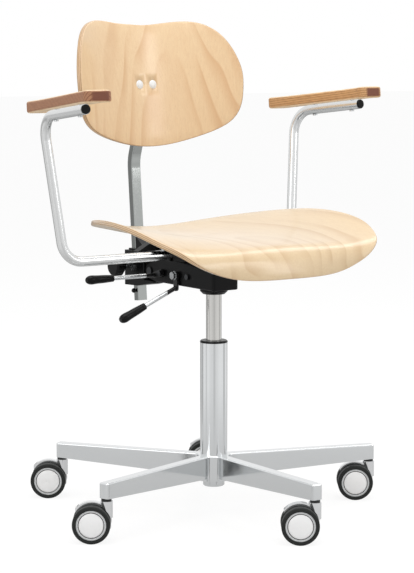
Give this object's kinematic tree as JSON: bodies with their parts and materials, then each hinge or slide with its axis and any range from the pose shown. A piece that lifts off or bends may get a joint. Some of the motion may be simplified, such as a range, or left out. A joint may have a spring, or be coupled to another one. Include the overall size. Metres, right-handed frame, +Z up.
{
  "type": "swivel chair",
  "caption": "Swivel chair with a moulded plywood seat and backrest, bent tube arms with wooden pads, a gas column and a castored star base.",
  "frame": {"origin": "on the floor under the column's axis", "axes": "+Z up; the sitter faces -Y; the sitter's left hand is on +X"},
  "size_m": [0.6617, 0.617, 0.8821],
  "materials": {
    "aluminium": "polished",
    "chrome": "mirror-bright plating",
    "steel": "bright zinc",
    "black_metal": "satin powder coat",
    "black_plastic": "fine matt",
    "wheel_plastic": "silver lacquer",
    "tyre": "soft tread",
    "beech_plywood": "clear satin lacquer",
    "beech": "clear satin lacquer"
  },
  "bodies": {
    "base": {"star_base": "aluminium", "column_tube": "aluminium", "guide_bush": "black_plastic", "thrust_bearing": "steel", "hub_cap": "aluminium"},
    "spring_rod": {"piston_rod": "steel"},
    "seat_group": {"gas_cylinder": "chrome", "mechanism_housing": "black_metal", "seat_carrier": "black_metal", "seat_spacers": "black_plastic", "seat_screws": "steel", "seat_shell": "beech_plywood", "back_pivot_axle": "steel", "front_bolt": "steel", "tilt_lever_bolt": "steel", "lift_lever_bolt": "steel", "arm_frame": "chrome", "arm_clamp_bolts": "steel", "arm_pad_right": "beech", "arm_pad_left": "beech", "arm_tube_plugs": "black_plastic", "arm_pad_screws": "steel"},
    "tilt_arm": {"tilt_lever": "steel", "tilt_lever_grip": "black_plastic"},
    "lift_arm": {"lift_lever": "steel", "lift_lever_grip": "black_plastic"},
    "bracket": {"back_bracket": "black_metal", "bracket_bolt": "steel"},
    "knob": {"height_knob": "black_plastic", "height_knob_screw": "steel"},
    "back": {"back_post": "chrome", "post_stop": "black_plastic", "back_mount_plate": "black_metal", "backrest_shell": "beech_plywood", "backrest_screws": "steel"},
    "castor_1_fork": {"castor_1_hood": "chrome"},
    "castor_1_roller_a": {"castor_1_wheel_a": "wheel_plastic", "castor_1_tyre_a": "tyre"},
    "castor_1_roller_b": {"castor_1_wheel_b": "wheel_plastic", "castor_1_tyre_b": "tyre"},
    "castor_2_fork": {"castor_2_hood": "chrome"},
    "castor_2_roller_a": {"castor_2_wheel_a": "wheel_plastic", "castor_2_tyre_a": "tyre"},
    "castor_2_roller_b": {"castor_2_wheel_b": "wheel_plastic", "castor_2_tyre_b": "tyre"},
    "castor_3_fork": {"castor_3_hood": "chrome"},
    "castor_3_roller_a": {"castor_3_wheel_a": "wheel_plastic", "castor_3_tyre_a": "tyre"},
    "castor_3_roller_b": {"castor_3_wheel_b": "wheel_plastic", "castor_3_tyre_b": "tyre"},
    "castor_4_fork": {"castor_4_hood": "chrome"},
    "castor_4_roller_a": {"castor_4_wheel_a": "wheel_plastic", "castor_4_tyre_a": "tyre"},
    "castor_4_roller_b": {"castor_4_wheel_b": "wheel_plastic", "castor_4_tyre_b": "tyre"},
    "castor_5_fork": {"castor_5_hood": "chrome"},
    "castor_5_roller_a": {"castor_5_wheel_a": "wheel_plastic", "castor_5_tyre_a": "tyre"},
    "castor_5_roller_b": {"castor_5_wheel_b": "wheel_plastic", "castor_5_tyre_b": "tyre"}
  },
  "joints": [
    {"name": "swivel", "type": "hinge", "parent": "base", "child": "spring_rod", "pos_m": [0, 0, 0.06], "axis": [0, 0, 1], "continuous": true},
    {"name": "height", "type": "slide", "parent": "spring_rod", "child": "seat_group", "axis": [0, 0, 1], "range_m": [-0.078, 0.045]},
    {"name": "back_tilt", "type": "hinge", "parent": "seat_group", "child": "bracket", "pos_m": [0, 0.1665, 0.4215], "axis": [-1, 0, 0], "range_deg": [-6, 18]},
    {"name": "back_height", "type": "slide", "parent": "bracket", "child": "back", "axis": [0, 0.0865, 0.9963], "range_m": [-0.06, 0.006]},
    {"name": "knob_turn", "type": "hinge", "parent": "bracket", "child": "knob", "pos_m": [-0.03, 0.2469, 0.425], "axis": [1, 0, 0], "range_deg": [-720, 30]},
    {"name": "tilt_lever_turn", "type": "hinge", "parent": "seat_group", "child": "tilt_arm", "pos_m": [-0.031, 0.124, 0.4215], "axis": [-1, 0, 0], "range_deg": [-12, 12]},
    {"name": "lift_lever_pull", "type": "hinge", "parent": "seat_group", "child": "lift_arm", "pos_m": [-0.031, 0.076, 0.4215], "axis": [-1, 0, 0], "range_deg": [0, 10], "stiffness_Nm_per_rad": 1, "springref_deg": -5.73},
    {"name": "castor_1_swivel", "type": "hinge", "parent": "base", "child": "castor_1_fork", "pos_m": [-0.00209, -0.29999, 0.08], "axis": [0, 0, 1], "continuous": true},
    {"name": "castor_1_roll_a", "type": "hinge", "parent": "castor_1_fork", "child": "castor_1_roller_a", "pos_m": [-0.02257, -0.28565, 0.0325], "axis": [-0.5736, -0.8192, 0], "continuous": true},
    {"name": "castor_1_roll_b", "type": "hinge", "parent": "castor_1_fork", "child": "castor_1_roller_b", "pos_m": [-0.02257, -0.28565, 0.0325], "axis": [-0.5736, -0.8192, 0], "continuous": true},
    {"name": "castor_2_swivel", "type": "hinge", "parent": "base", "child": "castor_2_fork", "pos_m": [0.28466, -0.0947, 0.08], "axis": [0, 0, 1], "continuous": true},
    {"name": "castor_2_roll_a", "type": "hinge", "parent": "castor_2_fork", "child": "castor_2_roller_a", "pos_m": [0.26418, -0.08035, 0.0325], "axis": [-0.5736, -0.8192, 0], "continuous": true},
    {"name": "castor_2_roll_b", "type": "hinge", "parent": "castor_2_fork", "child": "castor_2_roller_b", "pos_m": [0.26418, -0.08035, 0.0325], "axis": [-0.5736, -0.8192, 0], "continuous": true},
    {"name": "castor_3_swivel", "type": "hinge", "parent": "base", "child": "castor_3_fork", "pos_m": [0.17803, 0.24147, 0.08], "axis": [0, 0, 1], "continuous": true},
    {"name": "castor_3_roll_a", "type": "hinge", "parent": "castor_3_fork", "child": "castor_3_roller_a", "pos_m": [0.15755, 0.25581, 0.0325], "axis": [-0.5736, -0.8192, 0], "continuous": true},
    {"name": "castor_3_roll_b", "type": "hinge", "parent": "castor_3_fork", "child": "castor_3_roller_b", "pos_m": [0.15755, 0.25581, 0.0325], "axis": [-0.5736, -0.8192, 0], "continuous": true},
    {"name": "castor_4_swivel", "type": "hinge", "parent": "base", "child": "castor_4_fork", "pos_m": [-0.17464, 0.24393, 0.08], "axis": [0, 0, 1], "continuous": true},
    {"name": "castor_4_roll_a", "type": "hinge", "parent": "castor_4_fork", "child": "castor_4_roller_a", "pos_m": [-0.19512, 0.25827, 0.0325], "axis": [-0.5736, -0.8192, 0], "continuous": true},
    {"name": "castor_4_roll_b", "type": "hinge", "parent": "castor_4_fork", "child": "castor_4_roller_b", "pos_m": [-0.19512, 0.25827, 0.0325], "axis": [-0.5736, -0.8192, 0], "continuous": true},
    {"name": "castor_5_swivel", "type": "hinge", "parent": "base", "child": "castor_5_fork", "pos_m": [-0.28596, -0.09071, 0.08], "axis": [0, 0, 1], "continuous": true},
    {"name": "castor_5_roll_a", "type": "hinge", "parent": "castor_5_fork", "child": "castor_5_roller_a", "pos_m": [-0.30644, -0.07637, 0.0325], "axis": [-0.5736, -0.8192, 0], "continuous": true},
    {"name": "castor_5_roll_b", "type": "hinge", "parent": "castor_5_fork", "child": "castor_5_roller_b", "pos_m": [-0.30644, -0.07637, 0.0325], "axis": [-0.5736, -0.8192, 0], "continuous": true}
  ]
}
